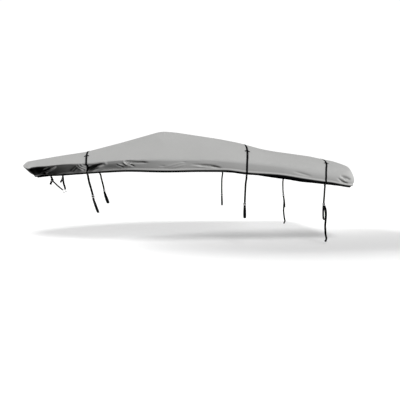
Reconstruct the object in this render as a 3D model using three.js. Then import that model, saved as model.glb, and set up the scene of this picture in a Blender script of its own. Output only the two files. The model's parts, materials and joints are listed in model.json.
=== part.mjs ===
// Fitted cover for a 21-foot V-hull runabout on its trailer. The boat and the trailer are left out.
// One sewn polyester shell drapes from a support under its peak, over the gunwale and down a short
// skirt to a rolled hem. Black webbing is sewn round the hem, three webbing straps cross the top,
// and their falls hang to loops that go round the trailer. A pair of bow straps hooks to the stem.
//
// Units are millimetres. +X runs aft, +Y to starboard and +Z up. The origin is on the inner face
// of the cloth at its peak, where the support touches it.

import * as THREE from 'three';
import { mergeVertices } from 'three/addons/utils/BufferGeometryUtils.js';

// ---------------------------------------------------------------- driving sizes

const CLOTH = 2.5; // thickness of the coated cloth with its turned seams
const GAP = 0.3; // between pieces that are sewn together
const TENT = 1.5; // power of the cross-section: 1 is a straight-sided tent, 2 a round crown
const SWEEP = 1.5; // power by which a line of the cloth swings along the boat on its way down the top
const RIDGE_SOFTNESS = 50; // half-length over which the ridge line is rounded

const ROLL_BELOW = { reach: 4, limit: 0.45 }; // the roll's share of the skirt, per share of the top
const SAG = 1.4; // power that brings the fullest part of the skirt below its middle

const HEM_WEBBING = { height: 35, thickness: 2 };
const HEM_ROLL = { top: 58, crest: 46, swell: 7 }; // top and crest are heights above the cut edge
const HEM_HEIGHTS = [HEM_ROLL.top, HEM_ROLL.crest, HEM_WEBBING.height, 0];
const STRAP = { width: 38, thickness: 2.5 };
const FALL_START = [4, 26]; // distances below the hem at which a fall begins and starts to bend
const KEEPER = { length: 96, height: 52, thickness: 4, crown: 52, foot: 14, rise: 9, rest: 1.2 };
const KEEPER_SHARE = 0.6; // place of the keepers, as a share of the way from the ridge to the gunwale
const BUCKLE = { width: 56, height: 40, thickness: 9, corner: 8 };
const HOOK = { wire: 7, opening: 26, shank: 34, lip: { out: 3, rise: 12 }, bends: 8 };

const COLOURS = { cloth: 0xb6b6b4, webbing: 0x0b0b0c, moulding: 0x111113, wire: 0x1a1a1c };

// Height of the ridge along the centreline, before the ridge line is rounded.
const RIDGE = [
  { x: -2760, z: -633 },
  { x: -2541, z: -590 },
  { x: -2071, z: -506 },
  { x: -1595, z: -431 },
  { x: -867, z: -235 },
  { x: -125, z: -18 },
  { x: 0, z: 0 },
  { x: 251, z: -19 },
  { x: 1147, z: -143 },
  { x: 1560, z: -217 },
  { x: 2074, z: -350 },
  { x: 2344, z: -398 },
  { x: 3170, z: -505 },
  { x: 3640, z: -600 },
];

// The port side, from the stem round to the middle of the transom; y is the half-breadth. Each
// row is one line across the cloth: it leaves the ridge at ridgeX, turns over the gunwale at the
// edge and ends at the hem. belly is how far the skirt swells outward at its fullest, roll is
// the share of the top that is rounded into the skirt, and cells are the mesh steps to the next row.
const STATIONS = table(
  ['ridgeX', 'edgeX', 'edgeY', 'edgeZ', 'hemX', 'hemY', 'hemZ', 'belly', 'roll', 'cells'],
  [
    [-2750, -2832, 0, -700, -2531, 0, -940, 48, 0.06, 2],
    [-2728, -2797, 126, -716, -2522, 66, -941, 36, 0.05, 1],
    [-2700, -2736, 222, -742, -2508, 130, -941, 24, 0.05, 2],
    [-2640, -2636, 335, -764, -2476, 216, -937, 10, 0.035, 2],
    [-2560, -2538, 427, -736, -2425, 312, -929, 4, 0.03, 2],
    [-2430, -2397, 536, -720, -2330, 398, -907, 0, 0.03, 2],
    [-2305, -2266, 624, -713, -2215, 475, -902, 0, 0.03, 3],
    [-2060, -2017, 760, -691, -1985, 611, -892, 0, 0.03, 2],
    [-1870, -1782, 866, -673, -1765, 724, -876, 0, 0.03, 5],
    [-1539, -1440, 985, -658, -1440, 860, -852, 2, 0.03, 5],
    [-1175, -1116, 1075, -634, -1116, 966, -830, 4, 0.03, 3],
    [-706, -688, 1157, -603, -688, 1067, -812, 6, 0.03, 4],
    [20, 0, 1217, -596, 0, 1142, -825, 8, 0.03, 4],
    [680, 600, 1220, -596, 600, 1158, -817, 10, 0.03, 3],
    [1205, 1050, 1220, -610, 1050, 1168, -819, 12, 0.04, 2],
    [1711, 1476, 1219, -628, 1478, 1180, -867, 12, 0.06, 3],
    [2330, 2070, 1213, -672, 2080, 1184, -909, 14, 0.08, 3],
    [2985, 2600, 1198, -729, 2602, 1178, -988, 18, 0.11, 2],
    [3457, 3030, 1180, -780, 3028, 1163, -1047, 24, 0.14, 1],
    [3532, 3112, 1176, -790, 3110, 1160, -1055, 26, 0.14, 2],
    [3556, 3330, 1163, -800, 3340, 1142, -1095, 34, 0.14, 2],
    [3575, 3500, 1124, -794, 3512, 1096, -1122, 56, 0.12, 2],
    [3590, 3618, 1024, -772, 3625, 1004, -1132, 74, 0.11, 2],
    [3604, 3666, 860, -736, 3678, 866, -1135, 72, 0.11, 2],
    [3616, 3692, 480, -678, 3698, 490, -1138, 50, 0.12, 2],
    [3628, 3700, 0, -640, 3704, 0, -1138, 40, 0.12, 0],
  ],
);

// Mesh rows down one side: shares of the top, then shares of the skirt above the hem roll.
const TOP_ROWS = [0, 0.12, 0.27, 0.43, KEEPER_SHARE, 0.72, 0.82, 0.9, 0.96, 1];
const SKIRT_ROWS = [0.14, 0.32, 0.5, 0.68, 0.86];

// The main folds. Both ends are given by x and by the distance up (+) or down (-) the cloth from
// the gunwale edge; width is the half-width, and height is + for a ridge and - for a trough.
const FOLDS = table(
  ['x0', 'v0', 'x1', 'v1', 'width', 'height'],
  [
    [-2180, -135, -2040, -50, 26, 9],
    [-2600, -40, -2480, -150, 30, -8],
    [-1590, -30, -1470, -140, 24, 10],
    [-1530, -20, -1462, -85, 22, 8],
    [-1665, -60, -1560, -150, 28, -7],
    [-1405, -50, -1180, -34, 30, -24],
    [-1325, -150, -1120, -52, 28, 14],
    [-1400, 60, -1300, 20, 40, -8],
    [-870, -60, -790, -120, 24, -7],
    [-690, -36, -400, -42, 22, -9],
    [60, -125, 320, -44, 24, -7],
    [150, -150, 330, -96, 20, 6],
    [470, -86, 950, -140, 22, -8],
    [500, -112, 960, -166, 18, 6],
    [2420, -110, 2690, -160, 26, -6],
    [3370, -150, 3500, -185, 26, -14],
    [3360, -225, 3480, -262, 24, -12],
    [3395, -190, 3490, -225, 20, 8],
    [-70, 1050, 10, 520, 26, -6],
    [70, 1050, 50, 520, 26, -6],
  ],
);

// Each strap lies along one station. Its fall hangs from the hem to a buckle, and a loop goes from
// there round the trailer frame. All points are x, half-breadth, z.
const STRAPS = [
  {
    station: 9,
    fall: [
      [-1426, 890, -920], [-1412, 893, -999], [-1390, 888, -1090], [-1370, 880, -1175],
      [-1355, 872, -1250],
    ],
    loop: [
      [-1349, 880, -1294], [-1336, 888, -1340], [-1305, 898, -1425], [-1272, 900, -1520],
      [-1262, 892, -1558], [-1264, 868, -1576], [-1276, 842, -1566], [-1296, 832, -1520],
      [-1326, 838, -1420], [-1345, 856, -1340], [-1352, 862, -1295],
    ],
    tail: [],
  },
  {
    station: 15,
    fall: [
      [1476, 1184, -930], [1462, 1182, -1030], [1458, 1174, -1160], [1456, 1163, -1290],
      [1456, 1152, -1399],
    ],
    loop: [
      [1456, 1158, -1442], [1457, 1168, -1490], [1460, 1174, -1560], [1462, 1174, -1640],
      [1462, 1164, -1676], [1461, 1140, -1690], [1459, 1118, -1678], [1458, 1108, -1640],
      [1457, 1112, -1560], [1456, 1130, -1490], [1456, 1138, -1443],
    ],
    tail: [],
  },
  {
    station: 18,
    fall: [
      [3026, 1164, -1100], [3024, 1160, -1190], [3025, 1152, -1280], [3026, 1141, -1360],
      [3030, 1128, -1428],
    ],
    loop: [
      [3036, 1134, -1472], [3050, 1142, -1530], [3066, 1146, -1620], [3068, 1144, -1712],
      [3064, 1134, -1746], [3060, 1110, -1758], [3056, 1088, -1746], [3052, 1080, -1700],
      [3044, 1086, -1600], [3036, 1104, -1520], [3032, 1114, -1473],
    ],
    tail: [
      [3038, 1146, -1473], [3056, 1160, -1540], [3066, 1166, -1640], [3062, 1166, -1750],
      [3058, 1162, -1850], [3066, 1156, -1950], [3080, 1150, -2050], [3094, 1150, -2104],
      [3088, 1156, -2145], [3066, 1160, -2180],
    ],
  },
];

// The bow strap drops from the hem, just aft of its station, to its buckle. One end hangs free and
// the other hooks to the bow eye.
const BOW_STRAP = {
  station: 6,
  fall: [[-2168, 461, -958]],
  tail: [[-2184, 447, -1002], [-2192, 440, -1022], [-2202, 430, -1044], [-2214, 420, -1068]],
  leg: [
    [-2160, 440, -1001], [-2150, 400, -1024], [-2136, 350, -1052], [-2121, 298, -1084],
    [-2100, 246, -1118], [-2079, 196, -1150], [-2062, 142, -1180], [-2052, 104, -1200],
  ],
};

// ---------------------------------------------------------------- small helpers

function table(columns, rows) {
  return rows.map((row) => Object.fromEntries(columns.map((name, k) => [name, row[k]])));
}

// A cubic curve through the points that never overshoots them.
function monotone(xs, ys) {
  const last = xs.length - 1;
  const rises = xs.slice(1).map((x, k) => (ys[k + 1] - ys[k]) / (x - xs[k]));
  const slopes = xs.map((_, k) => {
    if (k === 0) return rises[0];
    if (k === last) return rises[last - 1];
    const [before, after] = [rises[k - 1], rises[k]];
    return before * after <= 0 ? 0 : (2 * before * after) / (before + after);
  });
  return (x) => {
    let k = 0;
    while (k < last - 1 && x > xs[k + 1]) k += 1;
    const step = xs[k + 1] - xs[k];
    const f = (x - xs[k]) / step;
    const g = 1 - f;
    return (
      ys[k] * (1 + 2 * f) * g * g +
      ys[k + 1] * (1 + 2 * g) * f * f +
      step * (slopes[k] * f * g * g - slopes[k + 1] * f * f * g)
    );
  };
}

const range = (from, to) => Array.from({ length: to - from }, (_, k) => from + k);

function polyline(rows, x) {
  let k = 0;
  while (k < rows.length - 2 && x > rows[k + 1].x) k += 1;
  const share = (x - rows[k].x) / (rows[k + 1].x - rows[k].x);
  return rows[k].z + share * (rows[k + 1].z - rows[k].z);
}

function softRidge(x) {
  const reach = [-RIDGE_SOFTNESS, 0, RIDGE_SOFTNESS];
  return reach.reduce((sum, offset) => sum + polyline(RIDGE, x + offset), 0) / reach.length;
}

const PEAK = softRidge(0);

// ---------------------------------------------------------------- the draped form

// Distance along the gunwale edge, from the stem, of each station.
const ALONG = STATIONS.reduce((marks, row, k) => {
  if (k === 0) return [0];
  const before = STATIONS[k - 1];
  const step = Math.hypot(row.edgeX - before.edgeX, row.edgeY - before.edgeY, row.edgeZ - before.edgeZ);
  return [...marks, marks[k - 1] + step];
}, []);

const COLUMN = Object.fromEntries(
  ['ridgeX', 'edgeX', 'edgeY', 'edgeZ', 'hemX', 'hemY', 'hemZ', 'belly', 'roll'].map((name) => [
    name,
    monotone(ALONG, STATIONS.map((row) => row[name])),
  ]),
);

// One line across the port side: its three anchor points and the direction out from the edge.
function lineAt(along) {
  const at = Object.fromEntries(Object.entries(COLUMN).map(([name, curve]) => [name, curve(along)]));
  const ahead = Math.min(along + 1, ALONG.at(-1));
  const behind = Math.max(along - 1, 0);
  const run = COLUMN.edgeX(ahead) - COLUMN.edgeX(behind);
  const spread = COLUMN.edgeY(ahead) - COLUMN.edgeY(behind);
  const length = Math.hypot(run, spread);
  const ridge = new THREE.Vector3(at.ridgeX, 0, softRidge(at.ridgeX) - PEAK);
  const edge = new THREE.Vector3(at.edgeX, at.edgeY, at.edgeZ);
  const hem = new THREE.Vector3(at.hemX, at.hemY, at.hemZ);
  return {
    ridge,
    edge,
    hem,
    belly: at.belly,
    roll: at.roll,
    out: new THREE.Vector3(-spread / length, run / length, 0),
    top: ridge.distanceTo(edge),
    skirt: edge.distanceTo(hem),
  };
}

function onTop(line, share) {
  return new THREE.Vector3(
    line.ridge.x + (line.edge.x - line.ridge.x) * share ** SWEEP,
    line.edge.y * share,
    line.ridge.z + (line.edge.z - line.ridge.z) * share ** TENT,
  );
}

function onSkirt(line, share) {
  const swell = line.belly * Math.sin(Math.PI * share ** SAG);
  return line.edge.clone().lerp(line.hem, share).addScaledVector(line.out, swell);
}

// A point of the section: place runs from 0 at the ridge, through 1 at the edge, to 2 at the hem.
function onSection(line, place) {
  const start = 1 - line.roll;
  const end = 1 + Math.min(ROLL_BELOW.limit, ROLL_BELOW.reach * line.roll);
  if (place <= start) return onTop(line, place);
  if (place >= end) return onSkirt(line, place - 1);
  const w = (place - start) / (end - start);
  const before = onTop(line, start).lerp(line.edge, w);
  const after = line.edge.clone().lerp(onSkirt(line, end - 1), w);
  return before.lerp(after, w);
}

// Places of the mesh rows on one line. The hem rows keep their height above the cut edge.
function rowPlaces(line) {
  const plain = 1 - HEM_ROLL.top / line.skirt;
  return [
    ...TOP_ROWS,
    ...SKIRT_ROWS.map((share) => 1 + share * plain),
    ...HEM_HEIGHTS.map((height) => 2 - height / line.skirt),
  ];
}

const ROWS = TOP_ROWS.length + SKIRT_ROWS.length + HEM_HEIGHTS.length;
const HEM_ROW = ROWS - 1;
const WEBBING_ROW = ROWS - 2;
const CREST_ROW = ROWS - 3;

function foldHeight(x, v) {
  const height = (fold) => {
    const run = fold.x1 - fold.x0;
    const rise = fold.v1 - fold.v0;
    const share = ((x - fold.x0) * run + (v - fold.v0) * rise) / (run * run + rise * rise);
    const held = THREE.MathUtils.clamp(share, 0, 1);
    const away = Math.hypot(x - fold.x0 - held * run, v - fold.v0 - held * rise);
    return fold.height * Math.exp(-((away / fold.width) ** 2));
  };
  return FOLDS.reduce((sum, fold) => sum + height(fold), 0);
}

// ---------------------------------------------------------------- the mesh of the form

// Lines of the mesh along the edge. A strap takes the two lines at its own edges.
function meshLines() {
  const lines = [];
  const straps = STRAPS.map((strap) => strap.station);
  STATIONS.forEach((row, k) => {
    if (straps.includes(k)) {
      lines.push(ALONG[k] - STRAP.width / 2, ALONG[k] + STRAP.width / 2);
    } else {
      lines.push(ALONG[k]);
    }
    for (let cell = 1; cell < row.cells; cell += 1) {
      lines.push(ALONG[k] + (cell / row.cells) * (ALONG[k + 1] - ALONG[k]));
    }
  });
  return lines;
}

const LINES = meshLines();

// The form is a grid of welded points. Port and starboard share the ridge, the stem and the
// middle of the transom, so a point's number is the same from both sides there.
function pointNumber(line, row, side) {
  const middle = row === 0 || line === 0 || line === LINES.length - 1;
  return (line * ROWS + row) * 2 + (middle || side > 0 ? 0 : 1);
}

function sideQuads(side, lines, rows) {
  const quads = [];
  for (const line of lines) {
    for (const row of rows) {
      const quad = [
        pointNumber(line, row, side),
        pointNumber(line, row + 1, side),
        pointNumber(line + 1, row + 1, side),
        pointNumber(line + 1, row, side),
      ];
      quads.push(side > 0 ? quad.reverse() : quad);
    }
  }
  return quads;
}

function quadPatch(lines, rows) {
  return [...sideQuads(-1, lines, rows), ...sideQuads(1, lines, rows)];
}

const WHOLE = quadPatch(range(0, LINES.length - 1), range(0, HEM_ROW));

function normalsOf(points) {
  const normals = new Map([...points.keys()].map((key) => [key, new THREE.Vector3()]));
  for (const quad of WHOLE) {
    const [a, b, c, d] = quad.map((key) => points.get(key));
    const face = c.clone().sub(a).cross(d.clone().sub(b));
    for (const key of quad) normals.get(key).add(face);
  }
  normals.forEach((normal) => normal.normalize());
  return normals;
}

function formPoints() {
  const points = new Map();
  const drops = new Map();
  LINES.forEach((along, lineNumber) => {
    const line = lineAt(along);
    rowPlaces(line).forEach((place, row) => {
      const port = onSection(line, place);
      const drop = place < 1 ? (1 - place) * line.top : (1 - place) * line.skirt;
      for (const side of [-1, 1]) {
        const key = pointNumber(lineNumber, row, side);
        points.set(key, new THREE.Vector3(port.x, port.y * side, port.z));
        drops.set(key, row === CREST_ROW ? { drop, swell: HEM_ROLL.swell } : { drop, swell: 0 });
      }
    });
  });
  return { points, drops };
}

function foldedForm() {
  const { points, drops } = formPoints();
  const smooth = normalsOf(points);
  const folded = new Map();
  points.forEach((point, key) => {
    const { drop, swell } = drops.get(key);
    folded.set(key, point.clone().addScaledVector(smooth.get(key), foldHeight(point.x, drop) + swell));
  });
  return { points: folded, normals: normalsOf(folded) };
}

const FORM = foldedForm();

// ---------------------------------------------------------------- solids

function solid(name, geometry, material) {
  const mesh = new THREE.Mesh(mergeVertices(geometry, 1e-3), material);
  mesh.name = name;
  return mesh;
}

function fromTriangles(corners) {
  const geometry = new THREE.BufferGeometry();
  geometry.setAttribute('position', new THREE.Float32BufferAttribute(corners, 3));
  return geometry;
}

// A closed sheet on part of the form, between two heights above its inner face.
function sheet(quads, inner, outer) {
  const corners = [];
  const lifted = (key, height) =>
    FORM.points.get(key).clone().addScaledVector(FORM.normals.get(key), height(key));
  const triangle = (...corner) => corner.forEach((point) => corners.push(...point.toArray()));
  const uses = new Map();
  for (const [a, b, c, d] of quads) {
    for (const [p, q, r] of [[a, b, c], [a, c, d]]) {
      triangle(lifted(p, outer), lifted(q, outer), lifted(r, outer));
      triangle(lifted(r, inner), lifted(q, inner), lifted(p, inner));
    }
    for (const [p, q] of [[a, b], [b, c], [c, d], [d, a]]) uses.set(`${p},${q}`, [p, q]);
  }
  for (const [p, q] of uses.values()) {
    if (uses.has(`${q},${p}`)) continue;
    triangle(lifted(q, outer), lifted(p, outer), lifted(p, inner));
    triangle(lifted(q, outer), lifted(p, inner), lifted(q, inner));
  }
  return fromTriangles(corners);
}

const flat = (height) => () => height;

// A flat strip of webbing along a list of points, its width always along X.
function ribbon(points, width, thickness) {
  const across = new THREE.Vector3(width / 2, 0, 0);
  const sections = points.map((point, k) => {
    const before = points[Math.max(k - 1, 0)];
    const after = points[Math.min(k + 1, points.length - 1)];
    const face = new THREE.Vector3(1, 0, 0).cross(after.clone().sub(before)).setLength(thickness / 2);
    return [
      point.clone().add(across).add(face),
      point.clone().sub(across).add(face),
      point.clone().sub(across).sub(face),
      point.clone().add(across).sub(face),
    ];
  });
  const corners = [];
  const quad = (a, b, c, d) => [c, b, a, d, c, a].forEach((point) => corners.push(...point.toArray()));
  for (let k = 0; k < sections.length - 1; k += 1) {
    for (let side = 0; side < 4; side += 1) {
      const next = (side + 1) % 4;
      quad(sections[k][side], sections[k][next], sections[k + 1][next], sections[k + 1][side]);
    }
  }
  quad(...sections[0].toReversed());
  quad(...sections.at(-1));
  return fromTriangles(corners);
}

function roundedPlate(width, height, corner, thickness) {
  const [x, y] = [width / 2, height / 2];
  const outline = new THREE.Shape();
  outline.moveTo(-x + corner, -y);
  outline.lineTo(x - corner, -y);
  outline.absarc(x - corner, -y + corner, corner, -Math.PI / 2, 0);
  outline.absarc(x - corner, y - corner, corner, 0, Math.PI / 2);
  outline.absarc(-x + corner, y - corner, corner, Math.PI / 2, Math.PI);
  outline.absarc(-x + corner, -y + corner, corner, Math.PI, 1.5 * Math.PI);
  return new THREE.ExtrudeGeometry(outline, { depth: thickness, bevelEnabled: false, curveSegments: 3 });
}

// A band with flat feet that arches up to its crown, along X and up Y.
function archedBand({ length, height, thickness, crown, foot, rise }) {
  const lower = [
    [-length / 2, 0],
    [foot - length / 2, 0],
    [-crown / 2, rise],
    [crown / 2, rise],
    [length / 2 - foot, 0],
    [length / 2, 0],
  ];
  const upper = lower.map(([x, y]) => [x, y + thickness]).toReversed();
  const outline = new THREE.Shape([...lower, ...upper].map(([x, y]) => new THREE.Vector2(x, y)));
  const band = new THREE.ExtrudeGeometry(outline, { depth: height, bevelEnabled: false });
  return band.translate(0, 0, -height / 2);
}

// An open wire hook that hangs from the origin, in the plane of X and Z.
function wireHook({ wire, opening, shank, lip, bends }) {
  const turn = opening / 2;
  const bend = range(0, bends + 1).map((k) => {
    const angle = Math.PI * (1 + k / bends);
    return new THREE.Vector3(turn + turn * Math.cos(angle), 0, -shank + turn * Math.sin(angle));
  });
  const tip = new THREE.Vector3(opening + lip.out, 0, lip.rise - shank);
  const path = new THREE.CatmullRomCurve3([new THREE.Vector3(0, 0, 0), ...bend, tip]);
  const section = new THREE.Shape();
  section.absarc(0, 0, wire / 2, 0, 2 * Math.PI);
  return new THREE.ExtrudeGeometry(section, { steps: 22, curveSegments: 4, extrudePath: path });
}

const MATERIALS = {
  cloth: new THREE.MeshStandardMaterial({ color: COLOURS.cloth, roughness: 0.85, metalness: 0 }),
  webbing: new THREE.MeshStandardMaterial({ color: COLOURS.webbing, roughness: 0.75, metalness: 0 }),
  moulding: new THREE.MeshStandardMaterial({ color: COLOURS.moulding, roughness: 0.45, metalness: 0 }),
  wire: new THREE.MeshStandardMaterial({ color: COLOURS.wire, roughness: 0.4, metalness: 0.6 }),
};

const SIDES = [
  { name: 'port', sign: -1 },
  { name: 'starboard', sign: 1 },
];

// ---------------------------------------------------------------- the pieces

function canvas() {
  return solid('canvas', sheet(WHOLE, flat(0), flat(CLOTH)), MATERIALS.cloth);
}

function hemWebbing() {
  const band = quadPatch(range(0, LINES.length - 1), [WEBBING_ROW]);
  const inner = CLOTH + GAP;
  const skin = sheet(band, flat(inner), flat(inner + HEM_WEBBING.thickness));
  return solid('hem_webbing', skin, MATERIALS.webbing);
}

// A strap climbs over the hem webbing at its ends.
function strapHeight(key) {
  const row = Math.floor(key / 2) % ROWS;
  return CLOTH + GAP + (row >= WEBBING_ROW ? HEM_WEBBING.thickness + GAP : 0);
}

function strapLine(strap) {
  return LINES.indexOf(ALONG[strap.station] - STRAP.width / 2);
}

function overStrap(strap, number) {
  const quads = quadPatch([strapLine(strap)], range(0, HEM_ROW));
  const outer = (key) => strapHeight(key) + STRAP.thickness;
  return solid(`strap_${number}`, sheet(quads, strapHeight, outer), MATERIALS.webbing);
}

// Middle of a strap that lies from one mesh line to the next, at one mesh row, with the direction
// along the boat and the one out of the cloth.
function strapPlace(line, row, sign) {
  const keys = [pointNumber(line, row, sign), pointNumber(line + 1, row, sign)];
  const [fore, aft] = keys.map((key) => FORM.points.get(key));
  const out = FORM.normals.get(keys[0]).clone().add(FORM.normals.get(keys[1])).normalize();
  const along = aft.clone().sub(fore).normalize();
  const height = strapHeight(keys[0]) + STRAP.thickness / 2;
  return { point: fore.clone().lerp(aft, 0.5).addScaledVector(out, height), along, out };
}

function keeper(strap, number, { name, sign }) {
  const { point, along, out } = strapPlace(strapLine(strap), TOP_ROWS.indexOf(KEEPER_SHARE), sign);
  const mesh = solid(`keeper_${number}_${name}`, archedBand(KEEPER), MATERIALS.webbing);
  mesh.setRotationFromMatrix(new THREE.Matrix4().makeBasis(along, out, along.clone().cross(out)));
  mesh.position.copy(point).addScaledVector(out, KEEPER.rest - GAP - STRAP.thickness / 2);
  return mesh;
}

const vectors = (rows, sign) => rows.map(([x, y, z]) => new THREE.Vector3(x, y * sign, z));

function webbing(name, points) {
  return solid(name, ribbon(points, STRAP.width, STRAP.thickness), MATERIALS.webbing);
}

// The first points of a fall carry on from the hem at a mesh line, in the direction of the cloth.
function fallPoints(line, fall, sign) {
  const end = strapPlace(line, HEM_ROW, sign).point;
  const above = strapPlace(line, WEBBING_ROW, sign).point;
  const down = end.clone().sub(above).normalize();
  const start = FALL_START.map((reach) => end.clone().addScaledVector(down, reach));
  return [...start, ...vectors(fall, sign)];
}

// A buckle sits between the end of one webbing and the starts of the others.
function buckle(name, above, below) {
  const mesh = solid(
    name,
    roundedPlate(BUCKLE.width, BUCKLE.height, BUCKLE.corner, BUCKLE.thickness),
    MATERIALS.moulding,
  );
  const up = above.clone().sub(below).normalize();
  const along = new THREE.Vector3(1, 0, 0).addScaledVector(up, -up.x).normalize();
  const out = along.clone().cross(up);
  mesh.setRotationFromMatrix(new THREE.Matrix4().makeBasis(along, up, out));
  mesh.position.copy(above).lerp(below, 0.5).addScaledVector(out, -BUCKLE.thickness / 2);
  return mesh;
}

function fallingStrap(strap, number, { name, sign }) {
  const fall = fallPoints(strapLine(strap), strap.fall, sign);
  const loop = vectors(strap.loop, sign);
  const mouth = loop[0].clone().lerp(loop.at(-1), 0.5);
  const pieces = [
    webbing(`fall_${number}_${name}`, fall),
    buckle(`buckle_${number}_${name}`, fall.at(-1), mouth),
    webbing(`loop_${number}_${name}`, loop),
  ];
  if (strap.tail.length) pieces.push(webbing(`tail_${number}_${name}`, vectors(strap.tail, sign)));
  return pieces;
}

function bowStrap({ name, sign }) {
  const fall = fallPoints(LINES.indexOf(ALONG[BOW_STRAP.station]), BOW_STRAP.fall, sign);
  const leg = vectors(BOW_STRAP.leg, sign);
  const tail = vectors(BOW_STRAP.tail, sign);
  const hook = solid(`bow_hook_${name}`, wireHook(HOOK), MATERIALS.wire);
  hook.position.copy(leg.at(-1)).add(new THREE.Vector3(0, 0, -HOOK.wire));
  return [
    webbing(`bow_fall_${name}`, fall),
    buckle(`bow_buckle_${name}`, fall.at(-1), leg[0].clone().lerp(tail[0], 0.5)),
    webbing(`bow_leg_${name}`, leg),
    webbing(`bow_tail_${name}`, tail),
    hook,
  ];
}

const cover = new THREE.Group();
cover.add(canvas(), hemWebbing());
STRAPS.forEach((strap, k) => {
  cover.add(overStrap(strap, k + 1));
  for (const side of SIDES) cover.add(keeper(strap, k + 1, side), ...fallingStrap(strap, k + 1, side));
});
for (const side of SIDES) cover.add(...bowStrap(side));

export default cover;
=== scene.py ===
"""Looks of a fitted boat cover: light grey cloth, black webbing, moulded buckles and wire hooks.

All sizes are metres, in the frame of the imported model: +X runs aft, +Y to starboard and +Z up,
and the origin is on the inner face of the cloth at its peak. The boat that carries the cover is
left out.
"""

import json
import math

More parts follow.
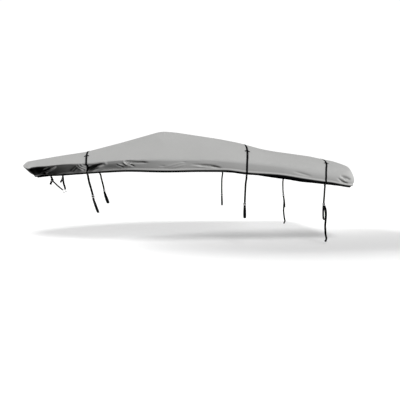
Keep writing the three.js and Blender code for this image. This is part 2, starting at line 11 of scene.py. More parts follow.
import bmesh
import bpy
import numpy as np
from mathutils import Matrix, Vector
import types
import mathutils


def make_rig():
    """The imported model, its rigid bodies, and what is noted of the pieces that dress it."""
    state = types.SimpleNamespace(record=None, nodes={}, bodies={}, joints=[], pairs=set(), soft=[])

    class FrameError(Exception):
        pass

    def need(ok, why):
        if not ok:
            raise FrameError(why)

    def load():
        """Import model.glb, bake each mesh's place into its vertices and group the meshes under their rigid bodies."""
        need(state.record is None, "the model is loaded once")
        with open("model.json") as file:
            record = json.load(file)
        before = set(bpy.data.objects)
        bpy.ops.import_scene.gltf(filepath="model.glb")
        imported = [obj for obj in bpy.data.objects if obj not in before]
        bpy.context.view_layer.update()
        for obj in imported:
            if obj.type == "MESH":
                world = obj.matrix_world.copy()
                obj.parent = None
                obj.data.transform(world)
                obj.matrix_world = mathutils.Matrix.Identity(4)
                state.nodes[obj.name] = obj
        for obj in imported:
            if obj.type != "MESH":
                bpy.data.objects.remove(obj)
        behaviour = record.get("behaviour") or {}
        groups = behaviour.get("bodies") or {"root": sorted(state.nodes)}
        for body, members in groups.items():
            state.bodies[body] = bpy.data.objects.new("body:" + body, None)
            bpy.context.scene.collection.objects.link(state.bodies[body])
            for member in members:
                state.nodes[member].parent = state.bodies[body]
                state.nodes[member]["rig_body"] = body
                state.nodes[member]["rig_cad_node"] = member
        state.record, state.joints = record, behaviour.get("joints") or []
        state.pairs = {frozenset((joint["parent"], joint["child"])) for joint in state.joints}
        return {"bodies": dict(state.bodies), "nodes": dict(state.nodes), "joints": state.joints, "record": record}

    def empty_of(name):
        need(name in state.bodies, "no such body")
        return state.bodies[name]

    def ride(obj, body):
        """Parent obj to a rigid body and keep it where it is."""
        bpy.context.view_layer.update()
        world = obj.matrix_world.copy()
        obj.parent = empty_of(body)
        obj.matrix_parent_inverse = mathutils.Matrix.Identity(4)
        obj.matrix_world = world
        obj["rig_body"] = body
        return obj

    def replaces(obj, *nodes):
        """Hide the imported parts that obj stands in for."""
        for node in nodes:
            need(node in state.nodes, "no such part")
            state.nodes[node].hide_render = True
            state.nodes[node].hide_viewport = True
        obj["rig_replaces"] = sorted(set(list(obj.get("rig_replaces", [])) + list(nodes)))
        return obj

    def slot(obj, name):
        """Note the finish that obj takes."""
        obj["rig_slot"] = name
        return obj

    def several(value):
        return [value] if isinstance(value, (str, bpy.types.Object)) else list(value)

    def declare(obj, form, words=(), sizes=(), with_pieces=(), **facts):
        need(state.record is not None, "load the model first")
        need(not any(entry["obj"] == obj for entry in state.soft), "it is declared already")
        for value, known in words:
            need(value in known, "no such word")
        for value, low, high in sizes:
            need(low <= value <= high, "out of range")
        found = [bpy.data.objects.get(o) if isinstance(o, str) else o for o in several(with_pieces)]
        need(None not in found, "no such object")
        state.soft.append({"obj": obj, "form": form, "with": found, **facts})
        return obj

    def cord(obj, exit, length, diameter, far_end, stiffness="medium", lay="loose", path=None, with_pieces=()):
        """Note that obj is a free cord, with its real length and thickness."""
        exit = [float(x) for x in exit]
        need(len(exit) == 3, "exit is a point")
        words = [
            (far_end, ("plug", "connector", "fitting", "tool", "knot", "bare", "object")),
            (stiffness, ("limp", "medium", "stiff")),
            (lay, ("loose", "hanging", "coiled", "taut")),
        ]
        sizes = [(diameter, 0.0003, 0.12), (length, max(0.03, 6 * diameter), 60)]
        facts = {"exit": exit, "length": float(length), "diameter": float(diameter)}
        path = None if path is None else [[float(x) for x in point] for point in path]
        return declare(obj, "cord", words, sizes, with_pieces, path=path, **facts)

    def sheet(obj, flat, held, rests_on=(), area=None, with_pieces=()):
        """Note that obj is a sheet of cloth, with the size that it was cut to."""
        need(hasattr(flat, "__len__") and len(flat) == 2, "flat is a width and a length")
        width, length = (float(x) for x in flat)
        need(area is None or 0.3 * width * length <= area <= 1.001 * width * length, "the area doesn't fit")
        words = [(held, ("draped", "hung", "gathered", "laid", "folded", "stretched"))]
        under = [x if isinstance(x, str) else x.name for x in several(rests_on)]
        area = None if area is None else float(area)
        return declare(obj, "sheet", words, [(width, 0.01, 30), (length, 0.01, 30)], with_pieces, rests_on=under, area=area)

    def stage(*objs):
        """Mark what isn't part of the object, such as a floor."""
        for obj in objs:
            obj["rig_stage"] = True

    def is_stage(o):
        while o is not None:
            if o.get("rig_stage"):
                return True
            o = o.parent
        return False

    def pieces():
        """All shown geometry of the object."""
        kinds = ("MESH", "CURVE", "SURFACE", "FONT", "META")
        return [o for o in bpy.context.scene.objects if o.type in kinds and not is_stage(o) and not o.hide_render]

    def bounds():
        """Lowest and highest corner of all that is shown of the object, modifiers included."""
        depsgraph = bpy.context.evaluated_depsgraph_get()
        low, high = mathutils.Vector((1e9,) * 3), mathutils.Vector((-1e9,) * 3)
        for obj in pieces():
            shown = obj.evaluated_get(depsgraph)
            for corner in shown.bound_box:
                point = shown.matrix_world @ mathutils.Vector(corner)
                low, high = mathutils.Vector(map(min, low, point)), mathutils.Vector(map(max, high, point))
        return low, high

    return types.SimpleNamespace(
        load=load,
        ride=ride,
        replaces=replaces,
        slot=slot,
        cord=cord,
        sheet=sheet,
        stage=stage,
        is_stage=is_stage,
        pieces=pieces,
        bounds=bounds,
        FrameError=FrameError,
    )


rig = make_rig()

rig.load()
CAD_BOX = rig.bounds()

# ---- driving sizes

CLOTH = 0.0025  # thickness
GAP = 0.0003  # between pieces that touch
CANVAS_FLAT, CANVAS_AREA = (3.24, 7.62), 19.65  # laid flat, and its area in square metres

TENT = 1.5  # power of the cross-section of the top
SWEEP = 1.5  # power by which a line of the cloth swings along the boat on its way down the top
RIDGE_SOFTNESS = 0.05  # the ridge is averaged over this distance each way
ROLL_REACH, ROLL_LIMIT = 4, 0.45  # the gunwale roll's share of the skirt, per share of the top
FOLD_END = 0.4  # a fold's height at its ends, as a share of that at its middle
FOLD_CLEAR = 0.03  # the folds fade out over this height above the hem webbing
SAG = 1.4  # power that brings the fullest part of the skirt below its middle
EDGE_REACH, SKIN_REACH = 0.001, 0.004  # half the spans that directions are measured over

HEM_WEBBING_HEIGHT, HEM_WEBBING_THICKNESS = 0.035, 0.002
HEM_ROLL_CREST, HEM_ROLL_WIDTH, HEM_ROLL_SWELL = 0.05, 0.013, 0.021
STRAP_WIDTH, STRAP_THICKNESS = 0.038, 0.0025
STRAP_CLIMB_START, STRAP_CLIMB = 0.004, 0.008  # onto the hem webbing: start above it, run
KEEPER_LENGTH, KEEPER_HEIGHT, KEEPER_SHARE = 0.096, 0.052, 0.6
KEEPER_THICKNESS, KEEPER_CROWN, KEEPER_FOOT, KEEPER_RISE = 0.0035, 0.052, 0.014, 0.009
BUCKLE_WIDTH, BUCKLE_HEIGHT, BUCKLE_THICKNESS = 0.056, 0.040, 0.009
BUCKLE_CREASE = 40  # degrees; edges sharper than this are shaded sharp
HOOK_WIRE, HOOK_OPENING, HOOK_SHANK = 0.007, 0.026, 0.034
HOOK_TIP_OUT, HOOK_TIP_RISE = 0.003, 0.012
FALL_START = (0.003, 0.026)  # how far below the hem a fall's first two points are
FALL_TURN, TAIL_TURN, BOW_TAIL_TURN = 0.12, -0.5, 0.3  # radians that webbing twists half way down
STITCH_SPACING, STITCH_LENGTH, STITCH_THREAD = 0.009, 0.0065, 0.0011
HEM_STITCH_INSET = (0.004, 0.005)  # from the webbing's upper edge and its lower edge
STRAP_STITCH_INSET = 0.005

TOP_STEPS, SKIRT_STEPS = 22, 21
TOP_CROWDING = 1.3  # power that brings the rows of the top closer together at the gunwale
HEM_ROWS = (0.07, 0.064, 0.058, 0.052, 0.046, 0.041, HEM_WEBBING_HEIGHT, 0.024, 0.012, 0)
STRAP_ROW_STEP, PATH_STEP = 0.012, 0.012
PATH_PARTS, PATH_POWER = 12, 0.5  # points to each span of a path, power of its spans' lengths
STRAP_STITCH_STEPS = (1.99, 25, 109)  # place of the first stitch, steps up the skirt and the top
KEEPER_STEPS = 33
HOOK_STEP, HOOK_SIDES, HOOK_BEND_STEPS = 0.0025, 12, 17
HOOK_ROUND_STEPS, HOOK_END = 2, 0.05  # steps that round each end of the wire, share at its end

FLOOR_Z, FLOOR_RADIUS = -2.229, 60  # the ground under the trailer's wheels
CAMERA_LENS, CAMERA_SENSOR = 34.2, 36  # millimetres
CAMERA_PLACE, CAMERA_PITCH, CAMERA_HEADING = (-0.304, -8.08, -0.679), 84.645, -7.5

CLOTH_DARK, CLOTH_LIGHT = (0.365, 0.365, 0.36), (0.385, 0.385, 0.38)
CLOTH_SPECK = (0.31, 0.31, 0.305)
WEBBING_DARK, WEBBING_LIGHT = (0.002, 0.002, 0.0025), (0.005, 0.005, 0.006)
WEBBING_WORN = (0.02, 0.02, 0.022)
MOULDING_DARK, MOULDING_LIGHT = (0.007, 0.007, 0.008), (0.014, 0.014, 0.015)
WIRE_COAT, WIRE_STEEL = (0.008, 0.008, 0.009), (0.25, 0.245, 0.235)
FLOOR_WHITE = (0.92, 0.92, 0.92, 1)
BACKDROP_STRENGTH = 1.05
LIGHT_DISTANCE = 20

# Across webbing, in half widths from its middle, and its thickness there as a share of the full.
WEB_COLUMNS = np.array([-1, -0.9, -0.35, 0.35, 0.9, 1])
SEWN_CROWN, HANGING_CROWN = np.array([[0.55, 1, 1, 1, 1, 0.55], [0.4, 1, 1, 1, 1, 0.4]])
KEEPER_COLUMNS = np.array([-1, -0.92, -0.4, 0.4, 0.92, 1])
KEEPER_CROWN_SHARE = np.array([0.6, 1, 1, 1, 1, 0.6])
# Down the hem webbing: height above the cut edge, and thickness as a share of the full.
HEM_WEBBING_ROWS = (
    (HEM_WEBBING_HEIGHT, 0.55), (0.034, 1), (0.026, 1), (0.0175, 0.95), (0.009, 1), (0.001, 1),
    (0, 0.55),
)

# The buckle's blocks, as shares of its width, height and thickness: a socket with its rim, its
# tongue and ladder bars, then on each side a pillar, a shoulder and an arm. bevel is in metres.
# Columns: x, y, width, height, thickness, bevel.
BUCKLE_MIDDLE = (
    (0, 0.17, 0.8, 0.42, 1, 0.0026),
    (0, 0.475, 0.9, 0.07, 0.55, 0.001),
    (0, -0.12, 0.66, 0.2, 0.7, 0.002),
    (0, -0.3, 0.88, 0.07, 0.5, 0.0011),
    (0, -0.47, 0.88, 0.07, 0.5, 0.0011),
)
BUCKLE_SIDE = (
    (0.42, 0.12, 0.13, 0.34, 0.72, 0.002),
    (0.43, 0.44, 0.09, 0.14, 0.6, 0.0012),
    (0.43, -0.3, 0.09, 0.4, 0.6, 0.0014),
)

# ---- tables of the draped form

# The ridge along the centreline: x, z.
RIDGE = (
    (-2.76, -0.633),
    (-2.541, -0.59),
    (-2.071, -0.506),
    (-1.595, -0.431),
    (-0.867, -0.235),
    (-0.125, -0.018),
    (0, 0),
    (0.251, -0.019),
    (1.147, -0.143),
    (1.56, -0.217),
    (2.074, -0.35),
    (2.344, -0.398),
    (3.17, -0.505),
    (3.64, -0.6),
)

# Lines across the port side, from the stem to the middle of the transom.
STATION_COLUMNS = (
    "ridge_x", "edge_x", "edge_y", "edge_z", "hem_x", "hem_y", "hem_z", "belly", "roll",
)
STATIONS = (
    (-2.75, -2.832, 0, -0.7, -2.531, 0, -0.94, 0.048, 0.06),
    (-2.728, -2.797, 0.126, -0.716, -2.522, 0.066, -0.941, 0.036, 0.05),
    (-2.7, -2.736, 0.222, -0.742, -2.508, 0.13, -0.941, 0.024, 0.05),
    (-2.64, -2.636, 0.335, -0.764, -2.476, 0.216, -0.937, 0.01, 0.035),
    (-2.56, -2.538, 0.427, -0.736, -2.425, 0.312, -0.929, 0.004, 0.03),
    (-2.43, -2.397, 0.536, -0.72, -2.33, 0.398, -0.907, 0, 0.03),
    (-2.305, -2.266, 0.624, -0.713, -2.215, 0.475, -0.902, 0, 0.03),
    (-2.06, -2.017, 0.76, -0.691, -1.985, 0.611, -0.892, 0, 0.03),
    (-1.87, -1.782, 0.866, -0.673, -1.765, 0.724, -0.876, 0, 0.03),
    (-1.539, -1.44, 0.985, -0.658, -1.44, 0.86, -0.852, 0.002, 0.03),
    (-1.175, -1.116, 1.075, -0.634, -1.116, 0.966, -0.83, 0.004, 0.03),
    (-0.706, -0.688, 1.157, -0.603, -0.688, 1.067, -0.812, 0.006, 0.03),
    (0.02, 0, 1.217, -0.596, 0, 1.142, -0.825, 0.008, 0.03),
    (0.68, 0.6, 1.22, -0.596, 0.6, 1.158, -0.817, 0.01, 0.03),
    (1.205, 1.05, 1.22, -0.61, 1.05, 1.168, -0.819, 0.012, 0.04),
    (1.711, 1.476, 1.219, -0.628, 1.478, 1.18, -0.867, 0.012, 0.06),
    (2.33, 2.07, 1.213, -0.672, 2.08, 1.184, -0.909, 0.014, 0.08),
    (2.985, 2.6, 1.198, -0.729, 2.602, 1.178, -0.988, 0.018, 0.11),
    (3.457, 3.03, 1.18, -0.78, 3.028, 1.163, -1.047, 0.024, 0.14),
    (3.532, 3.112, 1.176, -0.79, 3.11, 1.16, -1.055, 0.026, 0.14),
    (3.556, 3.33, 1.163, -0.8, 3.34, 1.142, -1.095, 0.034, 0.14),
    (3.575, 3.5, 1.124, -0.794, 3.512, 1.096, -1.122, 0.056, 0.12),
    (3.59, 3.618, 1.024, -0.772, 3.625, 1.004, -1.132, 0.074, 0.11),
    (3.604, 3.666, 0.86, -0.736, 3.678, 0.866, -1.135, 0.072, 0.11),
    (3.616, 3.692, 0.48, -0.678, 3.698, 0.49, -1.138, 0.05, 0.12),
    (3.628, 3.7, 0, -0.64, 3.704, 0, -1.138, 0.04, 0.12),
)

# Folds and creases. Both ends are given by x and by v, the distance up (+) or down (-) the cloth
# from the gunwale edge; width is the half-width, and height is + for a ridge and - for a trough.
# Columns: x0, v0, x1, v1, width, height.
FOLDS = (
    # the bow, gathered in under its flare
    (-2.6, -0.04, -2.48, -0.15, 0.03, -0.008),
    (-2.26, -0.13, -2.17, -0.1, 0.013, 0.02),
    (-2.19, -0.115, -2.04, -0.045, 0.014, 0.028),
    (-2.29, -0.08, -2.21, -0.045, 0.012, 0.016),
    (-2.37, -0.16, -2.3, -0.15, 0.013, 0.016),
    (-2.28, -0.175, -2.23, -0.15, 0.012, 0.015),
    (-2.1, -0.03, -1.72, -0.028, 0.014, -0.008),
    # crossed wrinkles ahead of the first strap
    (-1.74, -0.15, -1.61, -0.045, 0.012, 0.011),
    (-1.69, -0.165, -1.57, -0.06, 0.011, 0.01),
    (-1.63, -0.045, -1.53, -0.155, 0.011, 0.014),
    (-1.59, -0.03, -1.475, -0.145, 0.012, 0.019),
    (-1.54, -0.02, -1.462, -0.105, 0.011, 0.016),
    # the deep pinch behind it
    (-1.43, -0.034, -1.24, -0.032, 0.018, 0.018),
    (-1.49, -0.125, -1.27, -0.1, 0.044, -0.06),
    (-1.48, -0.07, -1.12, -0.05, 0.022, -0.04),
    (-1.36, -0.165, -1.1, -0.04, 0.028, 0.038),
    # short crossed wrinkles and a flat fold under the gunwale
    (-1.24, -0.15, -0.7, -0.16, 0.06, -0.024),
    (-1.1, -0.026, -0.8, -0.026, 0.012, -0.006),
    (-0.885, -0.09, -0.79, -0.135, 0.012, -0.022),
    (-0.875, -0.065, -0.78, -0.105, 0.011, 0.013),
    (-0.77, -0.045, -0.7, -0.105, 0.012, 0.013),
    (-0.7, -0.105, -0.64, -0.055, 0.012, 0.013),
    (-0.675, -0.08, -0.59, -0.115, 0.012, -0.022),
    (-0.7, -0.01, -0.48, -0.026, 0.013, 0.011),
    (-0.74, -0.034, -0.38, -0.05, 0.016, -0.05),
    # long shallow folds amidships
    (-0.11, -0.115, -0.04, -0.117, 0.012, -0.009),
    (-0.02, -0.14, 0.3, -0.045, 0.014, 0.012),
    (0.05, -0.16, 0.32, -0.09, 0.014, 0.011),
    (0.29, -0.044, 0.33, -0.044, 0.011, -0.012),
    (0.47, -0.088, 0.66, -0.106, 0.016, -0.009),
    (0.6, -0.102, 0.87, -0.117, 0.017, -0.042),
    (0.82, -0.115, 0.96, -0.138, 0.016, -0.034),
    (0.5, -0.125, 0.92, -0.152, 0.014, 0.007),
    (0.63, -0.03, 0.96, -0.028, 0.01, -0.005),
    # the stern quarter
    (2.4, -0.11, 2.71, -0.158, 0.02, -0.012),
    (3.28, -0.155, 3.36, -0.2, 0.017, -0.018),
    (3.35, -0.118, 3.53, -0.165, 0.017, -0.045),
    (3.42, -0.152, 3.457, -0.19, 0.015, -0.022),
    (3.45, -0.19, 3.55, -0.18, 0.016, -0.026),
    (3.35, -0.21, 3.47, -0.247, 0.017, -0.042),
    # below the peak
    (-0.07, 1.05, 0.01, 0.52, 0.026, -0.01),
    (0.07, 1.05, 0.05, 0.52, 0.026, -0.01),
)

# Each strap lies along one station. Its fall hangs from the hem to a buckle, and its loop goes from
# there round the trailer frame. Points are x, half-breadth, z.
STRAPS = (
    {
        "station": 9,
        "fall": (
            (-1.426, 0.89, -0.92), (-1.412, 0.893, -0.999), (-1.39, 0.888, -1.09),
            (-1.37, 0.88, -1.175), (-1.355, 0.872, -1.25),
        ),
        "loop": (
            (-1.349, 0.88, -1.294), (-1.336, 0.888, -1.34), (-1.305, 0.898, -1.425),
            (-1.272, 0.9, -1.52), (-1.262, 0.892, -1.558), (-1.264, 0.868, -1.576),
            (-1.276, 0.842, -1.566), (-1.296, 0.832, -1.52), (-1.326, 0.838, -1.42),
            (-1.345, 0.856, -1.34), (-1.352, 0.862, -1.295),
        ),
        "tail": (),
    },
    {
        "station": 15,
        "fall": (
            (1.476, 1.184, -0.93), (1.462, 1.182, -1.03), (1.458, 1.174, -1.16),
            (1.456, 1.163, -1.29), (1.456, 1.152, -1.399),
        ),
        "loop": (
            (1.456, 1.158, -1.442), (1.457, 1.168, -1.49), (1.46, 1.174, -1.56),
            (1.462, 1.174, -1.64), (1.462, 1.164, -1.676), (1.461, 1.14, -1.69),
            (1.459, 1.118, -1.678), (1.458, 1.108, -1.64), (1.457, 1.112, -1.56),
            (1.456, 1.13, -1.49), (1.456, 1.138, -1.443),
        ),
        "tail": (),
    },
    {
        "station": 18,
        "fall": (
            (3.026, 1.164, -1.1), (3.024, 1.16, -1.19), (3.025, 1.152, -1.28),
            (3.026, 1.141, -1.36), (3.03, 1.128, -1.428),
        ),
        "loop": (
            (3.036, 1.134, -1.472), (3.05, 1.142, -1.53), (3.066, 1.146, -1.62),
            (3.068, 1.144, -1.712), (3.064, 1.134, -1.746), (3.06, 1.11, -1.758),
            (3.056, 1.088, -1.746), (3.052, 1.08, -1.7), (3.044, 1.086, -1.6),
            (3.036, 1.104, -1.52), (3.032, 1.114, -1.473),
        ),
        "tail": (
            (3.038, 1.146, -1.473), (3.056, 1.16, -1.54), (3.066, 1.166, -1.64),
            (3.062, 1.166, -1.75), (3.058, 1.162, -1.85), (3.066, 1.156, -1.95),
            (3.08, 1.15, -2.05), (3.094, 1.15, -2.104), (3.088, 1.156, -2.145),
            (3.066, 1.16, -2.18),
        ),
    },
)

# The bow strap drops from the hem, a sixth of the way from its station to the next one.
BOW_STATION, BOW_STEP = 6, 1 / 6
BOW_FALL = ((-2.168, 0.461, -0.958),)
BOW_LEG = (
    (-2.16, 0.44, -1.001), (-2.15, 0.4, -1.024), (-2.136, 0.35, -1.052), (-2.121, 0.298, -1.084),
    (-2.1, 0.246, -1.118), (-2.079, 0.196, -1.15), (-2.062, 0.142, -1.18), (-2.052, 0.104, -1.2),
)
BOW_TAIL = (
    (-2.184, 0.447, -1.002), (-2.192, 0.44, -1.022), (-2.202, 0.43, -1.044),
    (-2.214, 0.42, -1.068),
)

SIDES = (("port", -1), ("starboard", 1))

# ---- curves of the form


def monotone(xs, ys):
    """A cubic curve through the points that never overshoots them, for arrays of x."""
    xs, ys = np.array(xs, float), np.array(ys, float)
    rises = np.diff(ys) / np.diff(xs)
    before, after = rises[:-1], rises[1:]
    total = np.where(before * after > 0, before + after, 1)
    middle = np.where(before * after > 0, 2 * before * after / total, 0)
    slopes = np.concatenate([rises[:1], middle, rises[-1:]])

    def curve(x):
        k = np.clip(np.searchsorted(xs, x, side="right") - 1, 0, len(xs) - 2)
        step = xs[k + 1] - xs[k]
        f = (x - xs[k]) / step
        g = 1 - f
        straight = ys[k] * (1 + 2 * f) * g * g + ys[k + 1] * (1 + 2 * g) * f * f
        return straight + step * (slopes[k] * f * g * g - slopes[k + 1] * f * f * g)

    return curve


def run_length(points):
    """Distance of each point from the first, along the line through them."""
    return np.concatenate([[0], np.cumsum(np.linalg.norm(np.diff(points, axis=0), axis=1))])


def unit(vectors):
    return vectors / np.maximum(np.linalg.norm(vectors, axis=-1, keepdims=True), 1e-12)


STATION = {name: [row[k] for row in STATIONS] for k, name in enumerate(STATION_COLUMNS)}
ALONG = run_length(np.array([STATION[f"edge_{k}"] for k in "xyz"]).T)
COLUMN = {name: monotone(ALONG, values) for name, values in STATION.items()}


def ridge_height(x):
    """Height of the ridge at x, its line rounded over a short length."""
    xs, zs = np.array(RIDGE).T
    slope = np.diff(zs) / np.diff(xs)

    def line(x):
        k = np.clip(np.searchsorted(xs, x, side="right") - 1, 0, len(slope) - 1)
        return zs[k] + slope[k] * (x - xs[k])

    return sum(line(x + offset) for offset in (-RIDGE_SOFTNESS, 0, RIDGE_SOFTNESS)) / 3


PEAK = float(ridge_height(np.array(0.0)))


def skirt_length(along):
    """Distance from the gunwale edge straight down to the hem."""
    gap = [COLUMN[f"edge_{k}"](along) - COLUMN[f"hem_{k}"](along) for k in "xyz"]
    return np.linalg.norm(np.stack(gap, -1), axis=-1)


def carried_over(along, place, side):
    """The same spot counted on the other side, where it is past the stem, transom or ridge."""
    over = (along < 0) | (along > ALONG[-1])
    along = np.where(along < 0, -along, np.where(along > ALONG[-1], 2 * ALONG[-1] - along, along))
    side = np.where(over, -side, side)
    return along, np.abs(place), np.where(place < 0, -side, side)


def outward(along):
    """The level direction out from the gunwale edge."""
    ahead, behind = np.minimum(along + EDGE_REACH, ALONG[-1]), np.maximum(along - EDGE_REACH, 0)
    run = COLUMN["edge_x"](ahead) - COLUMN["edge_x"](behind)
    spread = COLUMN["edge_y"](ahead) - COLUMN["edge_y"](behind)
    return np.stack([-spread, run, 0 * run], -1) / np.hypot(run, spread)[..., None]


def section(along, place, side):
    """Points of the smooth form and their distance v up or down the cloth from the gunwale edge.

    along is the distance from the stem at the gunwale edge. place is 0 at the ridge, 1 at the edge
    and 2 at the hem. side is -1 for port and 1 for starboard. Past the stem, the ridge or the
    middle of the transom, the form carries on down its other side.
    """
    along, place, side = carried_over(along, place, side)
    at = {name: curve(along) for name, curve in COLUMN.items()}
    ridge = np.stack([at["ridge_x"], 0 * along, ridge_height(at["ridge_x"]) - PEAK], -1)
    edge, hem = (np.stack([at[f"{line}_{k}"] for k in "xyz"], -1) for line in ("edge", "hem"))

    def on_top(share):
        x = ridge[..., 0] + (edge[..., 0] - ridge[..., 0]) * share**SWEEP
        z = ridge[..., 2] + (edge[..., 2] - ridge[..., 2]) * share**TENT
        return np.stack([x, edge[..., 1] * share, z], -1)

    def on_skirt(share):
        swell = (at["belly"] * np.sin(np.pi * share**SAG))[..., None] * outward(along)
        return edge + (hem - edge) * share[..., None] + swell

    start = 1 - at["roll"]
    end = 1 + np.minimum(ROLL_LIMIT, ROLL_REACH * at["roll"])
    w = np.clip((place - start) / (end - start), 0, 1)[..., None]
    before = on_top(start) + (edge - on_top(start)) * w
    after = edge + (on_skirt(end - 1) - edge) * w
    rolled = before + (after - before) * w
    top, skirt = on_top(np.clip(place, 0, 1)), on_skirt(np.clip(place - 1, 0, 1))
    points = np.where(
        (place <= start)[..., None], top, np.where((place >= end)[..., None], skirt, rolled)
    )
    points[..., 1] *= side
    length = np.where(
        place < 1,
        np.linalg.norm(edge - ridge, axis=-1),
        np.linalg.norm(hem - edge, axis=-1),
    )
    return points, (1 - place) * length


def crease_height(x, v):
    """Height of the folds at x and v: each is a soft trough or ridge that fades to its ends."""
    total = np.zeros_like(x)
    for x0, v0, x1, v1, width, height in FOLDS:
        run, rise = x1 - x0, v1 - v0
        share = ((x - x0) * run + (v - v0) * rise) / (run * run + rise * rise)
        held = np.clip(share, 0, 1)
        away = np.hypot(x - x0 - held * run, v - v0 - held * rise)
        fade = FOLD_END + (1 - FOLD_END) * np.sin(np.pi * held)
        total += height * fade * np.exp(-((away / width) ** 2))
    return total


def drape_height(x, v, above_hem):
    """How far the cloth lies outside the smooth form."""
    roll = HEM_ROLL_SWELL * np.exp(-(((above_hem - HEM_ROLL_CREST) / HEM_ROLL_WIDTH) ** 2))
    folds = crease_height(x, v) * np.clip((above_hem - HEM_WEBBING_HEIGHT) / FOLD_CLEAR, 0, 1)
    return folds + roll


def skin(along, place, side):
    """Points of the cloth's inner face, its outward normals and v."""
    along, place, side = np.broadcast_arrays(along, place, side)
    points, v = section(along, place, side)
    behind, ahead = (section(along + reach, place, side)[0] for reach in (-SKIN_REACH, SKIN_REACH))
    upper, lower = (section(along, place + reach, side)[0] for reach in (-SKIN_REACH, SKIN_REACH))
    normals = unit(np.cross(ahead - behind, lower - upper) * np.sign(side)[..., None])
    above_hem = np.where(place > 1, (2 - place) * skirt_length(along), 1)
    height = drape_height(points[..., 0], v, above_hem)
    return points + normals * height[..., None], normals, v


# ---- meshes


def link_object(name, data):
    thing = bpy.data.objects.new(name, data)
    bpy.context.scene.collection.objects.link(thing)
    return thing


def make_object(name, vertices, faces, slot, uvs=None):
    """A smooth-shaded mesh object; uvs holds one pair for each vertex."""
    mesh = bpy.data.meshes.new(name)
    mesh.from_pydata(np.asarray(vertices).tolist(), [], [tuple(map(int, f)) for f in faces])
    mesh.validate()
    if uvs is not None:
        corner = np.zeros(len(mesh.loops), np.int32)
        mesh.loops.foreach_get("vertex_index", corner)
        layer = mesh.uv_layers.new(name="UVMap")
        layer.data.foreach_set("uv", np.asarray(uvs, np.float32)[corner].ravel())
    mesh.polygons.foreach_set("use_smooth", [True] * len(mesh.polygons))
    mesh.materials.append(MATERIALS[slot])
    return link_object(name, mesh)


def grid_numbers(rows, columns):
    return np.arange(rows * columns).reshape(rows, columns)


def grid_faces(index):
    """Quads of a grid of vertex numbers."""
    a, b, c, d = index[:-1, :-1], index[:-1, 1:], index[1:, 1:], index[1:, :-1]
    return np.stack([a, b, c, d], -1).reshape(-1, 4)


def grid_uvs(run, across):
    """One pair for each point of a grid, from its distances along and across the piece."""
    return np.stack(np.broadcast_arrays(run, across), -1).reshape(-1, 2)


def closed_sheet(name, points, normals, inner, outer, uvs, slot="webbing", weld=None, ring=False):
    """A closed sheet on a grid of points, between two heights along their normals.

    weld gives, for each grid point, the number of the point that stands for it. A ring's last row
    joins its first.
    """
    rows, columns = points.shape[:2]
    index = grid_numbers(rows, columns) if weld is None else weld
    if ring:
        index = np.concatenate([index, index[:1]])
    skin_faces = grid_faces(index)
    count = rows * columns
    high, low = (
        (points + normals * height[..., None]).reshape(-1, 3) for height in (outer, inner)
    )
    edges = np.concatenate([skin_faces[:, [k, (k + 1) % 4]] for k in range(4)])
    edges = edges[edges[:, 0] != edges[:, 1]]
    key = edges[:, 0].astype(np.int64) * count + edges[:, 1]
    back = edges[:, 1].astype(np.int64) * count + edges[:, 0]
    rim = edges[~np.isin(key, back)]
    walls = np.stack([rim[:, 1], rim[:, 0], rim[:, 0] + count, rim[:, 1] + count], -1)
    faces = np.concatenate([skin_faces, skin_faces[:, ::-1] + count, walls])
    vertices = np.concatenate([high, low])
    clean = [tuple(dict.fromkeys(face)) for face in faces.tolist()]
    thing = make_object(
        name, vertices, [f for f in clean if len(f) > 2], slot, np.concatenate([uvs, uvs])
    )
    finish_mesh(thing)
    return thing


def finish_mesh(thing):
    """Drops loose points and turns every face outwards."""
    work = bmesh.new()
    work.from_mesh(thing.data)
    loose = [v for v in work.verts if not v.link_faces]
    bmesh.ops.delete(work, geom=loose, context="VERTS")
    bmesh.ops.recalc_face_normals(work, faces=work.faces)
    work.to_mesh(thing.data)
    work.free()


# ---- shader groups


def socket(group, name, kind, output=False, default=None):
    made = group.interface.new_socket(
        name=name, in_out="OUTPUT" if output else "INPUT", socket_type=f"NodeSocket{kind}"
    )
    if default is not None:
        made.default_value = default
    return made


def new_group(name, inputs, outputs):
    """An empty shader node group, with its input and output nodes."""
    group = bpy.data.node_groups.new(name, "ShaderNodeTree")
    for label, kind, default in inputs:
        socket(group, label, kind, default=default)
    for label, kind in outputs:
        socket(group, label, kind, output=True)
    return group, group.nodes.new("NodeGroupInput"), group.nodes.new("NodeGroupOutput")


def add_node(tree, kind, links=(), **values):
    """A new node; values set its properties or, by name, its inputs, and links feed its inputs."""
    made = tree.nodes.new(kind)
    for name, value in values.items():
        if hasattr(made, name):
            setattr(made, name, value)
        else:
            made.inputs[name.replace("_", " ")].default_value = value
    for name, source in dict(links).items():
        tree.links.new(source, made.inputs[name])
    return made


def node(tree, kind, links=(), **values):
    return add_node(tree, f"ShaderNode{kind}", links, **values)


def math_node(tree, operation, a, b=None, clamp=False):
    made = node(tree, "Math", operation=operation, use_clamp=clamp)
    for slot, value in zip(made.inputs, (a, b)):
        if isinstance(value, (int, float)):
            slot.default_value = value
        elif value is not None:
            tree.links.new(value, slot)
    return made.outputs[0]


